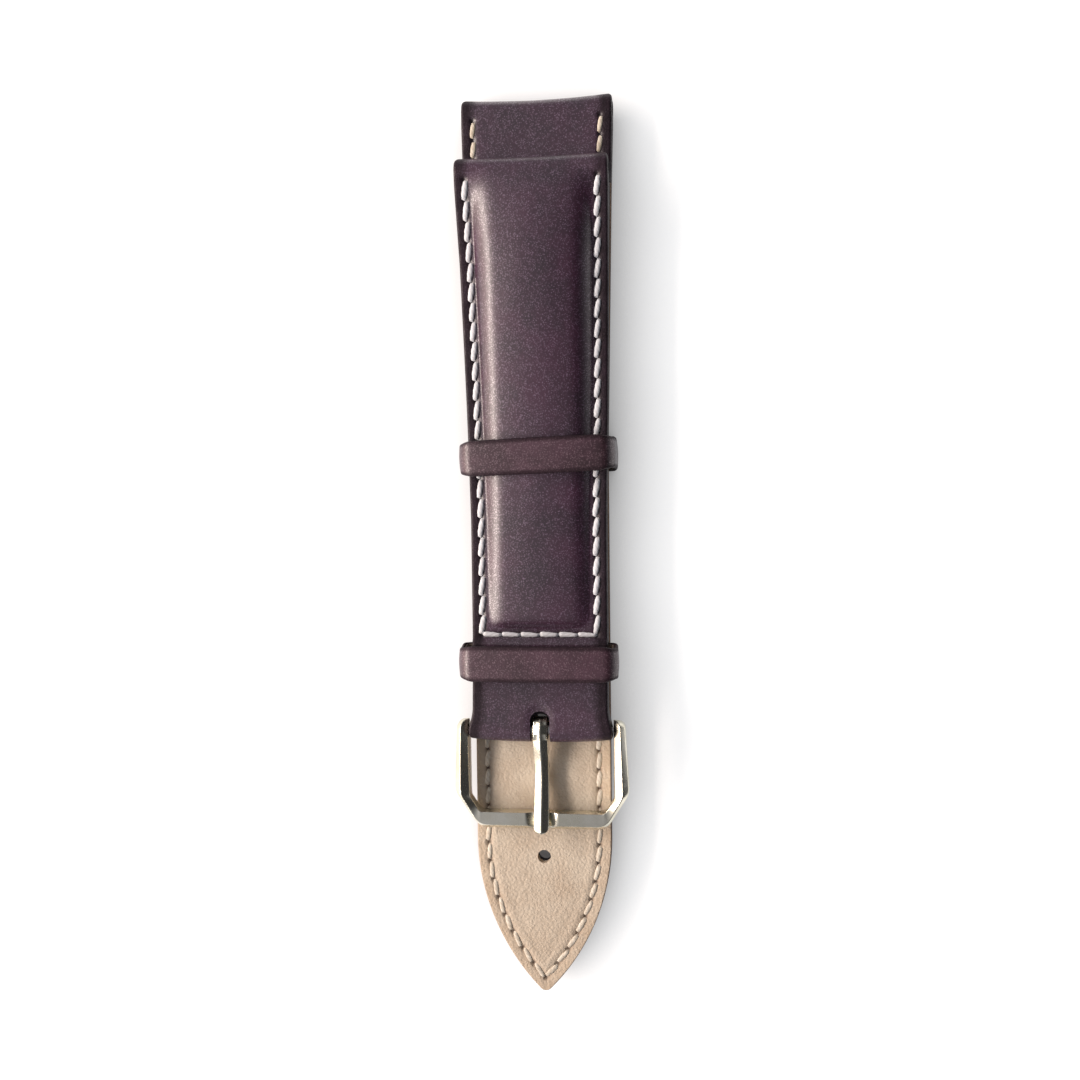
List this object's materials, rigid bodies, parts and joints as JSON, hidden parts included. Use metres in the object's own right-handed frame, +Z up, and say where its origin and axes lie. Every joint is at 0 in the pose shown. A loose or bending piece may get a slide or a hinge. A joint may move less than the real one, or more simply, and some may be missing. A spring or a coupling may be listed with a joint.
{
  "type": "leather watch strap",
  "caption": "Two-piece padded leather watch strap with pin buckle, one fixed and one sliding keeper, stored lining to lining.",
  "frame": {"origin": "middle of the strap's length and width, on the surface that it lies on", "axes": "+Z up, out of the short piece's face; +Y along the strap towards both lug ends"},
  "size_m": [0.0232, 0.12, 0.0105],
  "materials": {
    "face_leather": "fine-grained, semi-gloss",
    "lining_leather": "matt, fine pebble grain",
    "filler": "matt felt",
    "stay": "matt woven",
    "face_thread": "waxed, satin",
    "back_thread": "waxed, satin",
    "polished_steel": "polished",
    "bar_steel": "turned"
  },
  "bodies": {
    "short_strap": {"short_upper": "face_leather", "short_padding": "filler", "short_stay": "stay", "short_lining": "lining_leather", "short_thread_face": "face_thread", "short_thread_back": "back_thread", "fixed_keeper_cover": "face_leather", "fixed_keeper_liner": "lining_leather"},
    "long_strap": {"long_upper": "face_leather", "long_padding": "filler", "long_stay": "stay", "long_lining": "lining_leather", "long_thread_face": "face_thread", "long_thread_back": "back_thread"},
    "free_keeper": {"free_keeper_cover": "face_leather", "free_keeper_liner": "lining_leather"},
    "buckle": {"buckle_frame": "polished_steel", "bar_barrel": "bar_steel", "bar_spring": "bar_steel"},
    "tongue": {"buckle_tongue": "polished_steel"},
    "tip_left": {"bar_tip_left": "bar_steel"},
    "tip_right": {"bar_tip_right": "bar_steel"}
  },
  "joints": [
    {"name": "long_strap_slide", "type": "slide", "parent": "short_strap", "child": "long_strap", "axis": [0, 1, 0], "range_m": [0, 0.115]},
    {"name": "free_keeper_slide", "type": "slide", "parent": "short_strap", "child": "free_keeper", "axis": [0, 1, 0], "range_m": [-0.0215, 0.0025]},
    {"name": "buckle_swing", "type": "hinge", "parent": "short_strap", "child": "buckle", "pos_m": [0, -0.0238, 0.00661], "axis": [-1, 0, 0], "range_deg": [0, 75]},
    {"name": "tongue_swing", "type": "hinge", "parent": "buckle", "child": "tongue", "pos_m": [0, -0.0238, 0.00661], "axis": [-1, 0, 0], "range_deg": [0, 50]},
    {"name": "tip_left_press", "type": "slide", "parent": "buckle", "child": "tip_left", "axis": [1, 0, 0], "range_m": [0, 0.0009], "stiffness_N_per_m": 200, "deforming": ["bar_spring"]},
    {"name": "tip_right_press", "type": "slide", "parent": "buckle", "child": "tip_right", "axis": [-1, 0, 0], "range_m": [0, 0.0009], "stiffness_N_per_m": 200, "deforming": ["bar_spring"]}
  ]
}
